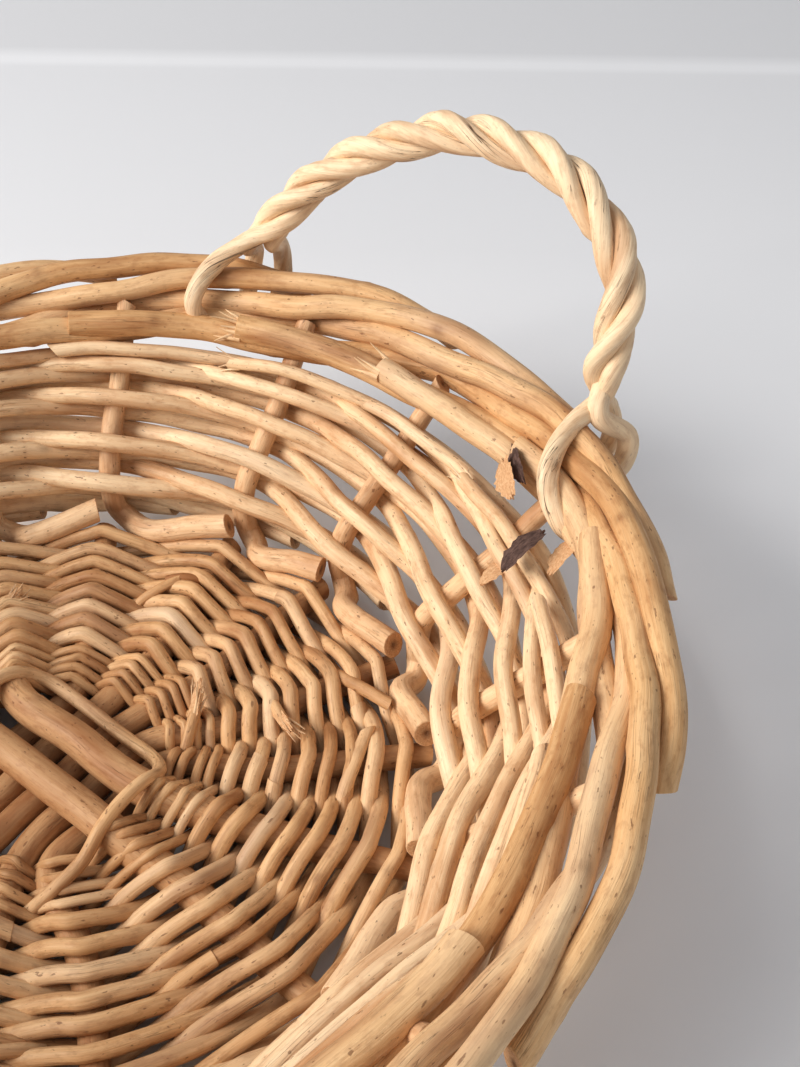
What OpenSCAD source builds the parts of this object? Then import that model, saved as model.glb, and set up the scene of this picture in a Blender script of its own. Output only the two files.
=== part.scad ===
// Round willow basket: a twined base on a cross of thick sticks, openwork sides of rods
// that climb round bent stakes, a rolled rod border and two twisted rod handles.
// Millimetres, +Z up. The origin is under the middle of the base, on the ground.
// The handles stand at +X and -X. Angles run anticlockwise from +X, seen from above.

/* [Base] */
// Radius of the outermost row of the base
base_r = 109; // [107:0.5:110]
// Thickness of the five sticks that lie along X
stick_d = 9; // [8:0.5:9.5]
// Thickness of the two sticks that cross over them
cross_d = 11; // [10:0.5:12]
// Thickness of the sticks where they end at the base's edge
stick_end_d = 8; // [7:0.5:8.5]
// Thickness of the fine weavers round the cross
fine_weaver_d = 2.8; // [2.4:0.2:3.2]
// Thickness of the weavers in the rest of the base
base_weaver_d = 4.4; // [4:0.2:4.8]

/* [Sides] */
// Thickness of a side weaver at its butt, low down on the side
side_butt_d = 7.2; // [6.6:0.2:7.4]
// Thickness of a side weaver at its tip, under the border
side_tip_d = 4.8; // [4.4:0.2:5.2]
// Thickness of a stake at its cut butt
stake_butt_d = 8.6; // [8:0.2:9]
// Thickness of a stake at the top of the side
stake_top_d = 6.6; // [6.2:0.2:7]

/* [Border] */
// Thickness of the border rods
border_d = 8.6; // [8:0.2:9]
// Distance that the border stands above the stakes' tops
border_lift = 0; // [0:0.5:2]

/* [Handles] */
// Thickness of one strand of a handle
strand_d = 6.4; // [6:0.2:7]
// Length of handle in which a strand twists once round
rope_lead = 56; // [50:1:62]

/* [Hidden] */

WILLOW = "#e0b98a";
STICK_COLOUR = "#cfa273";
BORDER_COLOUR = "#e3b67f";
HANDLE_COLOUR = "#ecc797";

// Spoke angles, clockwise seen from above, splayed out by hand from the cross:
// spokes 0-4 and 7-11 are the ends of the five base sticks, 5-6 and 12-13 of the two
// cross sticks
SPOKES = [40, 16, -4, -26, -45, -66, -92, -127, -155, -182, -209, -237, -270, -299];
COUNT = len(SPOKES);
slath_shift = [4, 4];
stick_pitch = 11;
cross_pitch = 16.4;
stick_z = stick_end_d / 2 + base_weaver_d + 0.5;
cross_z = stick_z + stick_d / 2 + cross_d / 2;
spoke_end_r = base_r + 6;

// The closing row's weavers are a little thicker, and the lower one is worn flat
closing_d = base_weaver_d + 0.5;
flat_depth = 0.3;

// The side: a stake's centre line, from the base's edge up to under the border
wall_foot_r = base_r + 15.6;
wall_foot_z = 31;
wall_slope = 0.77;
foot_slope = 0.25;
stake_top_z = 78;

// A stake stands a little clockwise of its spoke, and leans further that way as it rises
foot_lag = 1.2;
top_lag = 3.9;
rim_lag = 3;

// The base's weave: how far out each part starts, and how far apart its rows are. Each
// row is level most of the way round and steps out to the next just before this spoke
step_spoke = 11;
fine_row_r = 35;
fine_pitch = 4.3;
fine_rows = 4;
outer_row_r = 54.2;
outer_pitch = 7.4;
OUTER_ROWS = [3, 4];

// Heights of a side weaver as it climbs past the stakes, its first two stakes below its
// first stroke inside the wall, and how far off the wall's line it stands: inside one
// stake, then outside the next two
CLIMB = [12, 19.5, 28, 31.6, 35.3, 39, 43.2, 47.6, 52, 55.2, 58.2, 61.1, 63, 64.6, 66];
STAND_OFF = [-6.6, 8.8, 6.6];

// Where a border rod runs, stake by stake from its butt: [stakes passed, distance in
// or out from the side's line at that height, height]
BORDER_ROUTE = [
    [0, -9.8, 79.5], [0.5, -7.8, 77.5], [1, -4.3, 75], [1.5, 1.7, 75.5],
    [2, 7.7, 77], [2.5, 3.7, 80.5], [3, -2.3, 85], [3.5, 0.7, 88], [4, 3.7, 89],
    [4.4, 8.2, 87.5], [4.75, 12.7, 84], [4.95, 14.7, 81.5]
];

// A handle's centre line over the right of the rim: [across, up]
HANDLE_LINE = [
    [75.9, 78.6], [70.4, 89.6], [59.4, 100.6], [48.4, 117.1], [34.1, 131.4],
    [16.5, 142.4], [-2.2, 150.1], [-22, 152.3], [-41.8, 151.2], [-56.1, 145.7],
    [-69.3, 136.9], [-75.9, 127], [-78.1, 113.8], [-79.2, 99.5], [-78.1, 84.1]
];
handle_foot = [156, 83];
handle_lean = 0.577;
first_crest = 36;
rope_from = 32;
rope_to = 226;
rope_step = 9;

// Where the strands hook round the rim, from the rope downwards: [radius, angle, height]
FIRST_FEET = [
    [[178, 21.5, 96], [187.5, 22, 88], [188, 22.5, 79], [181, 22.5, 72]],
    [[184, 18.5, 95], [188.5, 18.8, 86], [187, 18.8, 77], [180, 18.8, 71]],
    [[165.5, 24, 95], [159, 25.6, 90], [155.5, 26.2, 84], [157, 25.6, 77],
        [163, 22, 71], [168, 18.5, 69]]
];
LAST_FEET = [
    [[190, -24.5, 95], [193, -25, 87], [191, -25.6, 78], [184, -25.5, 71]],
    [[186, -25.5, 98], [175, -26.5, 95.5], [167, -28, 93], [162, -29.6, 89],
        [159.5, -31.8, 84], [161.5, -34.3, 77.5], [167.5, -34.8, 71.5]],
    [[183, -27, 97], [192, -28, 88], [191, -28.5, 79], [184, -28.5, 71.5]]
];

function polar(r, a, z = 0) = [r * cos(a), r * sin(a), z];
function unit(v) = v / norm(v);
function mix(a, b, t) = a + (b - a) * t;
function clamp01(t) = min(1, max(0, t));
function spoke(i) = SPOKES[((i % COUNT) + COUNT) % COUNT] - 360 * floor(i / COUNT);
function between_spokes(m) = mix(spoke(floor(m)), spoke(floor(m) + 1), m - floor(m));
function stake_angle(m, z = 31) =
    between_spokes(m) - mix(foot_lag, top_lag, min(1.2, max(0, (z - wall_foot_z) / 34)));
function wall_r(z) = wall_foot_r + (z - wall_foot_z) * (z > wall_foot_z ? wall_slope : foot_slope);

// The rim sags and draws in a little on two sides, and stands up and spreads on the other
// two; the wall below it follows
function rim_lift(a) = 2.8 * cos(2 * (a + 25));
function rim_spread(a) = 3.6 * cos(2 * (a + 20)) - 1.5;

// How far, 0 to 1, the border is drawn together by a handle's foot near this angle
function squeezed(a) =
    let (turned = a + 35 + 90, away = turned - 180 * floor(turned / 180) - 90)
    exp(-pow(away / 16, 2));
function wall_at(a, z) = wall_r(z) + rim_spread(a) * clamp01((z - wall_foot_z) / 45);

// A point a distance out along the wall's normal, level with height z of stake m
function off_wall(m, z, out) =
    let (slope = mix(foot_slope, wall_slope, clamp01((z - 22) / 18)), tall = norm([1, slope]),
        a = stake_angle(m, z))
    polar(wall_at(a, z) + out / tall, a, z - out * slope / tall);

// Cross sticks ride over the base sticks in the middle and come down to their level
function is_cross(i) = let (k = ((i % COUNT) + COUNT) % COUNT) k == 5 || k == 6 || k >= 12;
function spoke_z(i, r) =
    is_cross(i) ? stick_z + (cross_z - stick_z) * clamp01((72 - r) / 42) : stick_z;
function spoke_radius(i, r) =
    mix(stick_end_d, is_cross(i) ? cross_d : stick_d, clamp01((spoke_end_r - r) / 85)) / 2;

// One ring of a rod, square to its heading, and the direction of a path at a point
function heading(p, i) = unit(p[min(i + 1, len(p) - 1)] - p[max(i - 1, 0)]);
function ring(c, t, r, sides, ref) =
    let (a = unit(cross(t, ref)), b = cross(t, a))
    [for (k = [0 : sides - 1]) c + r * (a * cos(360 * k / sides) + b * sin(360 * k / sides))];

// A rod of willow: a round, tapered sweep along a path, closed at both cut ends
module rod(path, r_start, r_end, sides = 6, ref = [0, 0, 1]) {
    n = len(path);
    points = [for (i = [0 : n - 1])
        each ring(path[i], heading(path, i), mix(r_start, r_end, i / (n - 1)), sides, ref)];
    walls = [for (i = [0 : n - 2]) for (k = [0 : sides - 1])
        let (k2 = (k + 1) % sides, p = i * sides)
        each [[p + k, p + sides + k, p + sides + k2], [p + k, p + sides + k2, p + k2]]];
    start_cap = [for (k = [1 : sides - 2]) [0, k, k + 1]];
    last = (n - 1) * sides;
    end_cap = [for (k = [1 : sides - 2]) [last, last + k + 1, last + k]];
    polyhedron(points = points, faces = concat(walls, start_cap, end_cap), convexity = 8);
}

// ---- base ----

// A stick of the base: straight across the middle, splayed at both ends
function stick_path(p_end, p_bend, q_bend, q_end, z_mid, spoke_p, spoke_q) = [
    polar(spoke_end_r, p_end, spoke_z(spoke_p, spoke_end_r)),
    polar(80, p_end, spoke_z(spoke_p, 80)),
    polar(58, p_end, spoke_z(spoke_p, 58)),
    [p_bend[0], p_bend[1], z_mid],
    [q_bend[0], q_bend[1], z_mid],
    polar(58, q_end, spoke_z(spoke_q, 58)),
    polar(80, q_end, spoke_z(spoke_q, 80)),
    polar(spoke_end_r, q_end, spoke_z(spoke_q, spoke_end_r))
];

module base_stick(i) {
    y = slath_shift[1] + (2 - i) * stick_pitch;
    path = stick_path(spoke(i), [27, y], [-21, y], spoke(11 - i), stick_z, i, 11 - i);
    color(STICK_COLOUR) stick(path, stick_d);
}

module cross_stick(i) {
    x = slath_shift[0] + (0.5 - i) * cross_pitch;
    path = stick_path(spoke(5 + i), [x, -26], [x, 34], spoke(13 - i), cross_z, 5 + i, 13 - i);
    color(STICK_COLOUR) stick(path, cross_d);
}

// Two tapers, thick in the middle and thinner at both ends, share the path's middle
module stick(path, d) {
    n = len(path);
    points = [for (i = [0 : n - 1])
        let (out = i < n / 2 ? i : n - 1 - i)
        each ring(path[i], heading(path, i), mix(stick_end_d, d, clamp01(out / 3)) / 2, 8, [0, 0, 1])];
    walls = [for (i = [0 : n - 2]) for (k = [0 : 7])
        let (k2 = (k + 1) % 8, p = i * 8)
        each [[p + k, p + 8 + k, p + 8 + k2], [p + k, p + 8 + k2, p + k2]]];
    caps = concat([for (k = [1 : 6]) [0, k, k + 1]],
        [for (k = [1 : 6]) [(n - 1) * 8, (n - 1) * 8 + k + 1, (n - 1) * 8 + k]]);
    polyhedron(points = points, faces = concat(walls, caps), convexity = 6);
}

// The rod that ties the cross: over the base sticks, over the cross sticks' ends
module slath_tie() {
    d = 4.6;
    over_sticks = stick_z + stick_d / 2 + d / 2;
    over_cross = cross_z + cross_d / 2 + d / 2;
    color(WILLOW) rod([
        [-16, 33, over_sticks], [-5, 37, over_cross - 2], [13, 37, over_cross - 2],
        [23, 32, over_sticks], [25, 4, over_sticks], [25, -20, over_sticks],
        [16, -25, over_cross - 4], [10, -24, over_cross], [-4, -23, over_cross],
        [-14, -25, over_cross - 5], [-24, -29, over_sticks], [-34, -24, stick_z]
    ], d / 2, d / 2 - 0.4, 8);
}

// A twining strand passes over one spoke, inward, under the next and outward again
function twined_point(m, r, d, phase) =
    let (i = floor(m), f = m - i, over = (i + phase) % 2 == 0 ? 1 : -1,
        shift = slath_shift * clamp01((base_r - r) / 70),
        gap_sag = f == 0 ? 0 : 0.02 * r,
        a = mix(spoke(i), spoke(i + 1), f),
        lift = spoke_radius(i, r) + d / 2,
        z_here = mix(spoke_z(i, r), spoke_z(i + 1, r), f))
    f == 0
        ? [shift[0], shift[1], 0] + polar(r, a, z_here + over * lift)
        : [shift[0], shift[1], 0] + polar(r - gap_sag - over * d * 0.55, a, z_here);

function ring_radius(m, r, pitch) =
    let (lap = floor(m / COUNT), along = m - lap * COUNT)
    r + pitch * (lap + clamp01((along - COUNT + 3) / 3));

module twined_pair(r_start, pitch, rows, d, sides) {
    steps = rows * COUNT * 2;
    for (phase = [0, 1])
        rod([for (k = [0 : steps])
                twined_point(k / 2 + step_spoke, ring_radius(k / 2, r_start, pitch), d, phase)],
            d / 2, d / 2, sides);
}

module base_weave_inner()
    color(WILLOW) twined_pair(fine_row_r, fine_pitch, fine_rows, fine_weaver_d, 5);

// The outer weave is two pairs of weavers, one pair after the other
module base_weave_outer(i) {
    first = i == 0 ? 0 : OUTER_ROWS[0];
    color(WILLOW)
        twined_pair(outer_row_r + outer_pitch * first, outer_pitch, OUTER_ROWS[i],
            base_weaver_d, 6);
}

// The closing row locks the spoke ends from above and below, and its underside is
// worn flat where the basket stands
module base_closing_row() {
    rw = closing_d / 2;
    over_z = stick_z + stick_end_d / 2 + rw;
    color(WILLOW) {
        translate([0, 0, over_z])
            rotate_extrude($fn = 120) translate([base_r, 0]) circle(r = rw, $fn = 24);
        rotate_extrude($fn = 120) intersection() {
            translate([base_r, rw - flat_depth]) circle(r = rw, $fn = 24);
            translate([base_r - rw, 0]) square([2 * rw, 2 * rw]);
        }
    }
}

// ---- sides ----

// A stake starts as a cut butt lying on the next spoke, runs along the base's edge,
// passes outside its neighbour's butt and turns up the side
module stake(j) {
    top = stake_angle(j);
    butt = spoke(j + 1) + 0.4;
    span = top - butt;
    foot = [
        polar(base_r + 5.2, butt, stick_z + 10.9),
        polar(base_r + 3, butt + span * 0.24, stick_z + 8.9),
        polar(base_r + 1.8, butt + span * 0.48, stick_z + 6.2),
        polar(base_r + 3, butt + span * 0.7, stick_z + 3.6),
        polar(base_r + 9, top - 3.2, stick_z + 0.9),
        polar(base_r + 12.8, top - 0.6, stick_z + 3.7)
    ];
    rise = [for (z = [20, wall_foot_z, 45, 62, stake_top_z])
        let (a = stake_angle(j, z)) polar(wall_at(a, z), a, z)];
    color(STICK_COLOUR)
        rod(concat(foot, rise), stake_butt_d / 2, stake_top_d / 2, 8, polar(-1, top, wall_slope));
}

// A side weaver starts low down outside the wall and climbs anticlockwise, inside one
// stake and outside the next two, until its tip is under the border
function side_height(step) =
    let (i = max(0, min(len(CLIMB) - 2, floor(step + 2))))
    mix(CLIMB[i], CLIMB[i + 1], step + 2 - i);
function side_point(c, step) =
    let (from = floor(step), f = step - from,
        a = off_wall(c - step, side_height(step), STAND_OFF[(from + 3) % 3]),
        b = off_wall(c - step, side_height(step), STAND_OFF[(from + 4) % 3]))
    mix(a, b, f);

module side_rod(c)
    color(WILLOW)
        rod([for (k = [-4 : 24]) side_point(c, k / 2)], side_butt_d / 2, side_tip_d / 2, 6);

// ---- border ----

module border_rod(j) {
    reach = j == 4 || j == 5 ? -0.5 : -0.27;
    path = [for (p = concat([[reach, -9.8, 80]], BORDER_ROUTE))
        let (a = between_spokes(j + p[0]) - rim_lag,
            out = p[1] + 13 * squeezed(a) * clamp01((6 - p[1]) / 15))
        polar(wall_r(p[2]) + out + rim_spread(a), a, p[2] + border_lift + rim_lift(a))];
    color(BORDER_COLOUR) rod(path, border_d / 2, border_d / 2 - 0.5, 6);
}

// ---- handles ----

function handle_point(p) =
    [handle_foot[0] + handle_lean * (p[1] - handle_foot[1]), p[0], p[1]];
LINE = [for (p = HANDLE_LINE) handle_point(p)];
LEGS = [for (i = [1 : len(LINE) - 1]) norm(LINE[i] - LINE[i - 1])];
function run_at(i) = i == 0 ? 0 : run_at(i - 1) + LEGS[i - 1];
function leg_at(s, i = 0) = i >= len(LEGS) - 1 || run_at(i + 1) >= s ? i : leg_at(s, i + 1);
away = unit([1, 0, -handle_lean]);

// A smooth curve through four points in a row, a fraction t of the way along its middle
function curve(p, q, r, w, t) =
    0.5 * (2 * q + (r - p) * t + (2 * p - 5 * q + 4 * r - w) * t * t
        + (3 * q - p - 3 * r + w) * t * t * t);
function line_point(s) =
    let (i = leg_at(s), last = len(LINE) - 1, t = (s - run_at(i)) / LEGS[i])
    curve(LINE[max(0, i - 1)], LINE[i], LINE[i + 1], LINE[min(last, i + 2)], t);
function strand_point(s, k) =
    let (way = unit(line_point(s + 1) - line_point(s - 1)), side = cross(way, away),
        w = 90 + 360 * ((s - first_crest) / rope_lead - k / 3))
    line_point(s) + strand_d * 0.57 * (away * cos(w) + side * sin(w));
function foot_points(route) = [for (p = route) polar(p[0], p[1], p[2])];
function reversed(list) = [for (i = [len(list) - 1 : -1 : 0]) list[i]];

// Each strand is twisted with the other two and hooks round the border at both feet
module handle_strand(k) {
    rope = [for (s = [rope_from : rope_step : rope_to]) strand_point(s, k)];
    path = concat(reversed(foot_points(FIRST_FEET[k])), rope, foot_points(LAST_FEET[k]));
    color(HANDLE_COLOUR) rod(path, strand_d / 2, strand_d / 2, 6, away);
}

module right_handle_strand(s) handle_strand(s);
module left_handle_strand(s) rotate([0, 0, 180]) handle_strand(s);

// ---- the assembly, one line for each node ----

function numbered(stem, i) = str(stem, i < 10 ? "0" : "", i);

for (i = [0 : 1]) cross_stick(i);
for (i = [0 : 4]) base_stick(i);
slath_tie();
base_weave_inner();
for (i = [0 : 1])
    base_weave_outer(i);
base_closing_row();
for (j = [0 : COUNT - 1]) stake(j);
for (c = [0 : COUNT - 1])
    side_rod(c);
for (j = [0 : COUNT - 1])
    border_rod(j);
for (s = [0 : 2])
    right_handle_strand(s);
for (s = [0 : 2])
    left_handle_strand(s);
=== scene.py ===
"""A round willow basket: twined base, openwork waled sides, rolled rod border and two
twisted rope handles. Lengths are in millimetres until a mesh is made. Angles are in
degrees, anticlockwise from +X seen from above."""
import functools
import math

import bpy
import numpy as np
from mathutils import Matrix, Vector


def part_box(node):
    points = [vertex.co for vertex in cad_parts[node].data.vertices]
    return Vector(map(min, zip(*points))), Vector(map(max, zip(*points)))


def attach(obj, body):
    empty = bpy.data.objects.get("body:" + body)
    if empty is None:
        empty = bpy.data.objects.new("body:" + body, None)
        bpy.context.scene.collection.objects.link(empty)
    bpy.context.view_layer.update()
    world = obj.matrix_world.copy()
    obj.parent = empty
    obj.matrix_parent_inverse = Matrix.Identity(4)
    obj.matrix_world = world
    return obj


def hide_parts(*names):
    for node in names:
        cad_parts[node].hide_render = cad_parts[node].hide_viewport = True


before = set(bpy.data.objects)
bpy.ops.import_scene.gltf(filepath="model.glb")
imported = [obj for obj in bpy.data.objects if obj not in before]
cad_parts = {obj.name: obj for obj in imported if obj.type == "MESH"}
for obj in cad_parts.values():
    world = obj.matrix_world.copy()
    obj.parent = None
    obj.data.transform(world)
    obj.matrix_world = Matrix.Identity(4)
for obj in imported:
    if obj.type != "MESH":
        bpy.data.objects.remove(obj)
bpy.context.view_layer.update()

MM = 0.001
UP = np.array([0.0, 0.0, 1.0])

# ---------------------------------------------------------------- camera
CAMERA_AT = (-123.6, -230.2, 368.3)
CAMERA_LOOKS = (0.5506, 0.4317, -0.7145)
CAMERA_LENS = 45.8
EXPOSURE, GAMMA = 0.22, 0.86

camera_data = bpy.data.cameras.new("photo_camera")
camera_data.lens = CAMERA_LENS
camera_data.sensor_width = 36
camera_data.clip_start = 0.01
camera = bpy.data.objects.new("photo_camera", camera_data)
bpy.context.collection.objects.link(camera)
camera.location = Vector(CAMERA_AT) * MM
camera.rotation_euler = Vector(CAMERA_LOOKS).to_track_quat("-Z", "Y").to_euler()
bpy.context.scene.camera = camera
bpy.context.scene.view_settings.view_transform = "Standard"
bpy.context.scene.view_settings.exposure = EXPOSURE
bpy.context.scene.view_settings.gamma = GAMMA

# ---------------------------------------------------------------- sizes
# Spoke angles, clockwise: 0-4 and 7-11 end the base sticks, the others the cross sticks
SPOKES = [40, 16, -4, -26, -45, -66, -92, -127, -155, -182, -209, -237, -270, -299]
COUNT = len(SPOKES)


def box_mm(node):
    low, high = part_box(node)
    return np.array(low) / MM, np.array(high) / MM


CLOSING_D = 4.9
BASE_R = box_mm("base_closing_row")[1][0] - CLOSING_D / 2
# The first seed of each kind of piece
STICK_SEED, CROSS_SEED, TIE_SEED = 100, 120, 140
FINE_SEED, OUTER_SEED, LOOSE_SEED, CLOSING_SEED = 200, 210, 215, 230
STAKE_SEED, SIDE_SEED, BORDER_SEED, HANDLE_SEED = 300, 400, 500, 600
STICK_D, CROSS_D, STICK_END_D = 9.2, 11.2, 8.2
FINE_D, WEAVER_D = 3.4, 5.3
SIDE_BUTT_D, SIDE_TIP_D = 7.2, 4.9
BUTT_D, STAKE_TOP_D = 8.8, 6.8
BORDER_D = 8.9
STRAND_D = 6.5
STICK_Z = sum(c[2] for c in box_mm("base_stick_3")) / 2
CROSS_Z = box_mm("cross_stick_1")[1][2] - CROSS_D / 2
SPOKE_END_R = BASE_R + 6
# The cross of sticks is off the middle by this much. Its sticks lie side by side, this far
# apart. They start to splay at these places along them, and run straight from this radius
SLATH_SHIFT = 4.0
STICK_PITCH, CROSS_PITCH = 11.0, 16.4
STICK_BENDS, CROSS_BENDS = (27, -21), (-26, 34)
SPOKE_BEND_R = 58
SPOKE_STATIONS = (SPOKE_END_R, 97, 80, SPOKE_BEND_R)
# The spoke after which each row of the base weave steps out to the next one
STEP_SPOKE = 11
# The base weave's rows: where the first one lies, and how far apart they are
FINE_R, FINE_PITCH, FINE_ROWS = 35, 4.3, 4
OUTER_R, OUTER_PITCH, OUTER_ROWS = 54.2, 7.4, (3, 4)
POINTS_PER_GAP = 8
# How many degrees clockwise of its spoke a stake is at its foot and higher up, and the
# border's route
FOOT_LAG, TOP_LAG, RIM_LAG = 1.2, 3.9, 3.0
# A cross stick's spokes have come down level with the others by this radius, over this
# length. Every spoke tapers over its last length
LEVEL_R, COMES_DOWN_OVER, TAPER_OVER = 72, 42, 85
# The side above and below its foot, in millimetres out for each one up, and the heights
# over which one slope turns into the other and the stakes come to lean
WALL_FOOT_R, WALL_FOOT_Z = BASE_R + 15.6, 31.0
WALL_SLOPE, FOOT_SLOPE = 0.77, 0.25
SLOPE_FROM_Z, SLOPE_OVER, LEAN_OVER = 22, 18, 34
STAKE_TOP_Z = box_mm("stake_01")[1][2]
# The rim is up and out by this much at these angles and opposite them, and down and in
# between. The wall follows its spread over this height. The border is also drawn together
# at this angle and opposite it, over a width of so many degrees
RIM_LIFT, RIM_LIFT_AT = 2.8, -25
RIM_SPREAD, RIM_SPREAD_AT, RIM_DRAWN_IN, SPREAD_OVER = 3.6, -20, 1.5, 45
SQUEEZED_AT, SQUEEZED_WIDTH = -35, 16


def mix(a, b, t):
    return a + (b - a) * t


def clamp01(t):
    return min(1.0, max(0.0, t))


def polar(r, angle, z=0.0):
    a = math.radians(angle)
    return np.array([r * math.cos(a), r * math.sin(a), z])


def spoke(i):
    turns, k = divmod(i, COUNT)
    return SPOKES[k] - 360 * turns


def is_cross(i):
    return i % COUNT in (5, 6, 12, 13)


def spoke_z(i, r):
    if not is_cross(i):
        return STICK_Z
    return mix(STICK_Z, CROSS_Z, clamp01((LEVEL_R - r) / COMES_DOWN_OVER))


def spoke_radius(i, r):
    thick = CROSS_D if is_cross(i) else STICK_D
    return mix(STICK_END_D, thick, clamp01((SPOKE_END_R - r) / TAPER_OVER)) / 2


def between_spokes(m):
    i = math.floor(m)
    return mix(spoke(i), spoke(i + 1), m - i)


def stake_angle(m, z=WALL_FOOT_Z):
    """A stake leans clockwise as it rises."""
    risen = min(1.2, max(0.0, (z - WALL_FOOT_Z) / LEAN_OVER))
    return between_spokes(m) - mix(FOOT_LAG, TOP_LAG, risen)


def wall_r(z):
    above = z - WALL_FOOT_Z
    return WALL_FOOT_R + above * (WALL_SLOPE if above > 0 else FOOT_SLOPE)


def rim_lift(angle):
    """How far the rim stands up on two sides, and sags on the other two."""
    return RIM_LIFT * math.cos(math.radians(2 * (angle - RIM_LIFT_AT)))


def rim_spread(angle):
    """How far the rim is pulled out on two sides. The wall below it follows."""
    return RIM_SPREAD * math.cos(math.radians(2 * (angle - RIM_SPREAD_AT))) - RIM_DRAWN_IN


def squeezed(angle):
    """How far, 0 to 1, the border is drawn together by a handle's foot near this angle."""
    away = (angle - SQUEEZED_AT + 90) % 180 - 90
    return math.exp(-(away / SQUEEZED_WIDTH) ** 2)


def wall_at(angle, z):
    """The wall's radius at an angle, with the rim's spread taken up on the way."""
    return wall_r(z) + rim_spread(angle) * clamp01((z - WALL_FOOT_Z) / SPREAD_OVER)


def off_wall(m, z, out):
    """A point a distance out along the wall's normal, level with height z of stake m."""
    slope = mix(FOOT_SLOPE, WALL_SLOPE, clamp01((z - SLOPE_FROM_Z) / SLOPE_OVER))
    tall = math.hypot(1, slope)
    angle = stake_angle(m, z)
    return polar(wall_at(angle, z) + out / tall, angle, z - out * slope / tall)


# ---------------------------------------------------------------- curves
def unit(v):
    return v / np.linalg.norm(v)


def smooth_curve(points, step):
    """A curve through the points, with its samples evenly spaced about step apart."""
    p = np.asarray(points, float)
    p = np.vstack([2 * p[0] - p[1], p, 2 * p[-1] - p[-2]])
    knots = np.concatenate([[0], np.cumsum(np.sqrt(np.linalg.norm(np.diff(p, axis=0), axis=1)))])
    pieces = []
    for i in range(1, len(p) - 2):
        t0, t1, t2, t3 = knots[i - 1:i + 3]
        t = np.linspace(t1, t2, 14, endpoint=False)[:, None]
        a1 = (t1 - t) / (t1 - t0) * p[i - 1] + (t - t0) / (t1 - t0) * p[i]
        a2 = (t2 - t) / (t2 - t1) * p[i] + (t - t1) / (t2 - t1) * p[i + 1]
        a3 = (t3 - t) / (t3 - t2) * p[i + 1] + (t - t2) / (t3 - t2) * p[i + 2]
        b1 = (t2 - t) / (t2 - t0) * a1 + (t - t0) / (t2 - t0) * a2
        b2 = (t3 - t) / (t3 - t1) * a2 + (t - t1) / (t3 - t1) * a3
        pieces.append((t2 - t) / (t2 - t1) * b1 + (t - t1) / (t2 - t1) * b2)
    return resample(np.vstack(pieces + [p[-2:-1]]), step)


def lengths_along(path):
    return np.concatenate([[0], np.cumsum(np.linalg.norm(np.diff(path, axis=0), axis=1))])


def resample(path, step):
    s = lengths_along(path)
    even = np.linspace(0, s[-1], max(4, int(round(s[-1] / step)) + 1))
    return np.stack([np.interp(even, s, path[:, k]) for k in range(3)], axis=1)


def carried_frames(path):
    """The heading at each point, and two directions across it that don't twist."""
    t = np.gradient(path, axis=0)
    t /= np.linalg.norm(t, axis=1)[:, None]
    u = np.empty_like(t)
    u[0] = unit(np.cross(t[0], UP if abs(t[0][2]) < 0.9 else [1.0, 0.0, 0.0]))
    for i in range(1, len(t)):
        u[i] = unit(u[i - 1] - t[i] * np.dot(u[i - 1], t[i]))
    return t, u, np.cross(t, u)


def wander(s, rng, wavelengths, amount):
    """A smooth random function of the length s."""
    total = np.zeros_like(s)
    for w in wavelengths:
        total += np.sin(2 * math.pi * s / (w * rng.uniform(0.8, 1.25)) + rng.uniform(0, 6.28))
    return total * amount / math.sqrt(len(wavelengths))


# ---------------------------------------------------------------- willow rods
# The materials of every piece, in their order: the rod's skin, torn or cut wood, and bark
WOOD, PALE, BARK_LEFT_ON = 0, 1, 2


class Piece:
    """Collects rods into one mesh, with the grain that the materials follow, and puts it in
    place of a node."""

    def __init__(self, node):
        self.node = node
        self.verts, self.faces, self.layers = [], [], []
        self.grain, self.tone, self.mark = [], [], []
        self.count = 0

    def add(self, verts, faces, layers, grain, tone, mark):
        self.verts.append(verts)
        self.faces += [tuple(k + self.count for k in f) for f in faces]
        self.layers += layers
        self.grain.append(grain)
        self.tone.append(tone)
        self.mark.append(mark)
        self.count += len(verts)

    def build(self, slot_name, materials):
        name = f"{self.node}_willow"
        mesh = bpy.data.meshes.new(name)
        mesh.from_pydata((np.vstack(self.verts) * MM).tolist(), [], self.faces)
        for m in materials:
            mesh.materials.append(m)
        layers = np.array(self.layers, dtype=np.int32)
        mesh.polygons.foreach_set("material_index", layers)
        mesh.polygons.foreach_set("use_smooth", layers == WOOD)
        grain = mesh.attributes.new("grain", "FLOAT_VECTOR", "POINT")
        grain.data.foreach_set("vector", np.vstack(self.grain).astype(np.float32).ravel())
        for key, values in (("tone", self.tone), ("mark", self.mark)):
            attribute = mesh.attributes.new(key, "FLOAT", "POINT")
            attribute.data.foreach_set("value", np.concatenate(values).astype(np.float32))
        mesh.update()
        piece = bpy.data.objects.new(name, mesh)
        bpy.context.collection.objects.link(piece)
        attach(piece, "root")
        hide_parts(self.node)


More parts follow.
